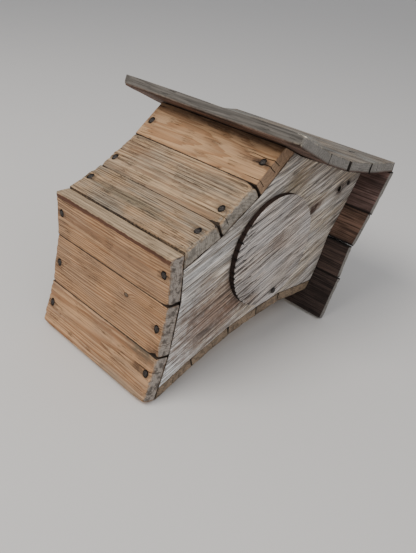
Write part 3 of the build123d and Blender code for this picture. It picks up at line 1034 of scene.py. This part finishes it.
slab("back_panel", resample(panel_outline("back_panel"), OUTLINE_PITCH),
     [hole(hang["pos_m"], hang["dims"]["r_mm"], 28),
      hole(OPENINGS["clean_out"].mean(axis=0), CLEAN_OUT_RADIUS, 72)],
     high[1], low[1],
     upright_cracks(31, (-9.5, -66.0, 46, 0.35, 1.4), (3.0, 4.0, 26, 0.3, 1.2),
                    (14.0, -40.0, 30, 0.3, 1.0), (44.0, -204.0, 34, 0.35, 1.3),
                    (-38.0, -244.0, 40, 0.35, 1.5), (8.0, -222.0, 30, 0.3, 1.0),
                    (-52.0, -88.0, 40, 0.3, 1.2)),
     91, panel_material)

low, high = box_mm("front_panel")
front_material = wood(
    "front_panel", seed=97, pith=(-46, -220),
    fade=("Z", -0.15, -0.24, 0.7, rgb(206, 204, 200)),
    knots=[((-0.030, -0.150, -0.130), 3.4, rgb(84, 62, 52))], **PANEL_LOOK)
slab("front_panel", resample(panel_outline("front_panel"), OUTLINE_PITCH),
     [hole(entrance["pos_m"], entrance["dims"]["r_mm"], 72)], low[1], high[1],
     upright_cracks(41, (12.0, -60.0, 40, 0.35, 1.4), (-30.0, -238.0, 44, 0.35, 1.4),
                    (30.0, -190.0, 36, 0.3, 1.0), (-6.0, -20.0, 34, 0.3, 1.1)),
     97, front_material)

# --------------------------------------------------------------------- cover
cover_low, cover_high = box_mm("clean_out_cover")
cover_at = (cover_low + cover_high) / 2
cover_radius = (cover_high[0] - cover_low[0]) / 2
pivot_m = frame["record"]["behaviour"]["joints"][0]["pos_m"]
rng = np.random.default_rng(5)
# Cracks where the grain meets the rim: angle round the cover, run, half width and depth.
cover_cracks = []
for degrees, run, half, deep in ((221, 12, 0.7, 1.8), (228, 21, 1.1, 2.6), (235, 9, 0.7, 1.8),
                                 (241, 26, 1.2, 3.0), (248, 15, 0.9, 2.0), (254, 33, 1.3, 3.2),
                                 (260, 18, 0.9, 2.4), (266, 27, 1.2, 3.0), (271, 12, 0.8, 2.0),
                                 (277, 24, 1.2, 2.8), (283, 34, 1.3, 3.2), (290, 16, 0.9, 2.2),
                                 (297, 29, 1.2, 2.8), (305, 14, 0.8, 2.0), (313, 22, 1.0, 2.2),
                                 (321, 11, 0.7, 1.6), (330, 17, 0.8, 1.6), (96, 12, 0.35, 1.4)):
    a = math.radians(degrees)
    start = cover_at[[0, 2]] + cover_radius * np.array([math.cos(a), math.sin(a)])
    heading = np.array([0.0, 1.0 if start[1] < cover_at[2] else -1.0])
    heading = heading + 0.12 * np.array([rng.uniform(-1, 1), 0])
    path = crack_path(start, heading / np.linalg.norm(heading), run, 50 + degrees)
    cover_cracks.append((path, half, deep))
# The cover's dark rim tone is partly stain and partly painted shade.
cover_material = wood(
    "clean_out_cover", "Z", early=rgb(226, 211, 197), late=rgb(141, 124, 111),
    grey=rgb(210, 202, 196), grey_amount=0.7, seed=131, pith=(70, 30), ring_mm=1.7,
    rim=rgb(44, 30, 24), streak=0.6, dirt=0.4, relief=2.2, contrast=2.1, furrow=0.85,
    broad=0.28, streak_scale=0.5, hairlines=0.3, joints=(), wave=10,
    patches=[((0.004, cover_high[1] * MM, -0.104), 15, 0.7, rgb(140, 116, 98), 0.6),
             ((-0.035, cover_high[1] * MM, -0.145), 10, 0.6, rgb(150, 124, 100), 0.6)],
    nails_at=[tuple(pivot_head_at)])
slab("clean_out_cover", circle(cover_at[0], cover_at[2], cover_radius, COVER_SIDES),
     [hole(pivot_m, PIVOT_BORE_RADIUS, 20)], cover_high[1], cover_low[1], cover_cracks, 131,
     cover_material, "cover", wear=0.6)


# ----------------------------------------------------------- floor and light
def ground_line():
    """A point in X and Z where the house touches what it leans on, and the way up from it."""
    floor_pts = node_points("floor_board_1")[:, [0, 2]]
    eave_pts = node_points("left_roof_board_1")[:, [0, 2]]
    best = None
    for a in hull_corners(floor_pts):
        for b in hull_corners(eave_pts):
            d = (b - a) / np.linalg.norm(b - a)
            n = np.array([d[1], -d[0]])
            both = np.vstack([floor_pts, eave_pts])
            if ((both - a) @ n).min() > -1e-6:
                best = (a, n)
    return best


HOUSE_MIDDLE = Vector((0.0, -0.075, -0.11))
GROUND_GAP, GROUND_HALF = 0.0002, 9.0
touch, up_2d = ground_line()
ground_up = Vector((up_2d[0], 0, up_2d[1])).normalized()
ground_at = Vector((touch[0], HOUSE_MIDDLE.y, touch[1])) - ground_up * GROUND_GAP


def ground_material():
    """Pale floor that is only seen from above, so views from below look past it."""
    t = Tree("pale_floor")
    paint = t.node("ShaderNodeBsdfPrincipled", {
        "Base Color": (0.62, 0.60, 0.575, 1), "Roughness": 0.75, "Specular IOR Level": 0.25})
    clear = t.node("ShaderNodeBsdfTransparent")
    side = t.node("ShaderNodeNewGeometry").outputs["Backfacing"]
    hidden = t.math("MAXIMUM", side, t.node("ShaderNodeLightPath").outputs["Is Shadow Ray"])
    mix = t.node("ShaderNodeMixShader", {0: hidden, 1: paint.outputs[0], 2: clear.outputs[0]})
    t.plug(t.output.inputs["Surface"], mix.outputs[0])
    return t.material


mesh = bpy.data.meshes.new("pale_floor")
across = Vector((0, 1, 0))
along = ground_up.cross(across).normalized()
corners = [ground_at + along * (GROUND_HALF * u) + across * (GROUND_HALF * v)
           for u, v in ((-1, -1), (1, -1), (1, 1), (-1, 1))]
mesh.from_pydata(corners, [], [(0, 1, 2, 3)])
mesh.update()
if mesh.polygons[0].normal.dot(ground_up) < 0:
    mesh.flip_normals()
ground = bpy.data.objects.new("pale_floor", mesh)
bpy.context.scene.collection.objects.link(ground)
ground.data.materials.append(ground_material())

world = bpy.data.worlds.new("soft_room")
world.use_nodes = True
background = world.node_tree.nodes["Background"].inputs
background["Color"].default_value = (0.93, 0.95, 1.0, 1)
background["Strength"].default_value = 0.55
bpy.context.scene.world = world


def soft_light(name, away, size, power, colour):
    """A round area light at a place counted from the middle of the house, facing it."""
    lamp = bpy.data.lights.new(name, "AREA")
    lamp.shape = "DISK"
    lamp.size = size
    lamp.energy = power
    lamp.color = colour
    obj = bpy.data.objects.new(name, lamp)
    obj.location = HOUSE_MIDDLE + away
    obj.rotation_euler = (HOUSE_MIDDLE - obj.location).to_track_quat("-Z", "Y").to_euler()
    bpy.context.scene.collection.objects.link(obj)


# -------------------------------------------------------------------- camera
camera_data = bpy.data.cameras.new("camera")
camera_data.sensor_width = 36.0
camera_data.lens = 35.35
eye = (0.3211, 0.2418, -0.3862)
camera = bpy.data.objects.new("camera", camera_data)
right = Vector((-0.11127, 0.71399, 0.69126))
upward = Vector((0.7167, -0.4242, 0.55352))
backward = right.cross(upward).normalized()
upward = backward.cross(right).normalized()
camera.matrix_world = Matrix([(right[i], upward[i], backward[i], eye[i]) for i in range(3)]
                             + [(0, 0, 0, 1)])
bpy.context.scene.collection.objects.link(camera)
bpy.context.scene.camera = camera

soft_light("window", ground_up * 1.3 - right * 0.9 + backward * 0.5, 1.1, 26, (1.0, 0.97, 0.93))
soft_light("room", ground_up * 0.8 + right * 0.9 + backward * 1.2, 1.6, 8, (0.93, 0.96, 1.0))
soft_light("left_fill", Vector((-1.5, -0.1, 0.2)), 1.4, 14, (0.96, 0.97, 1.0))
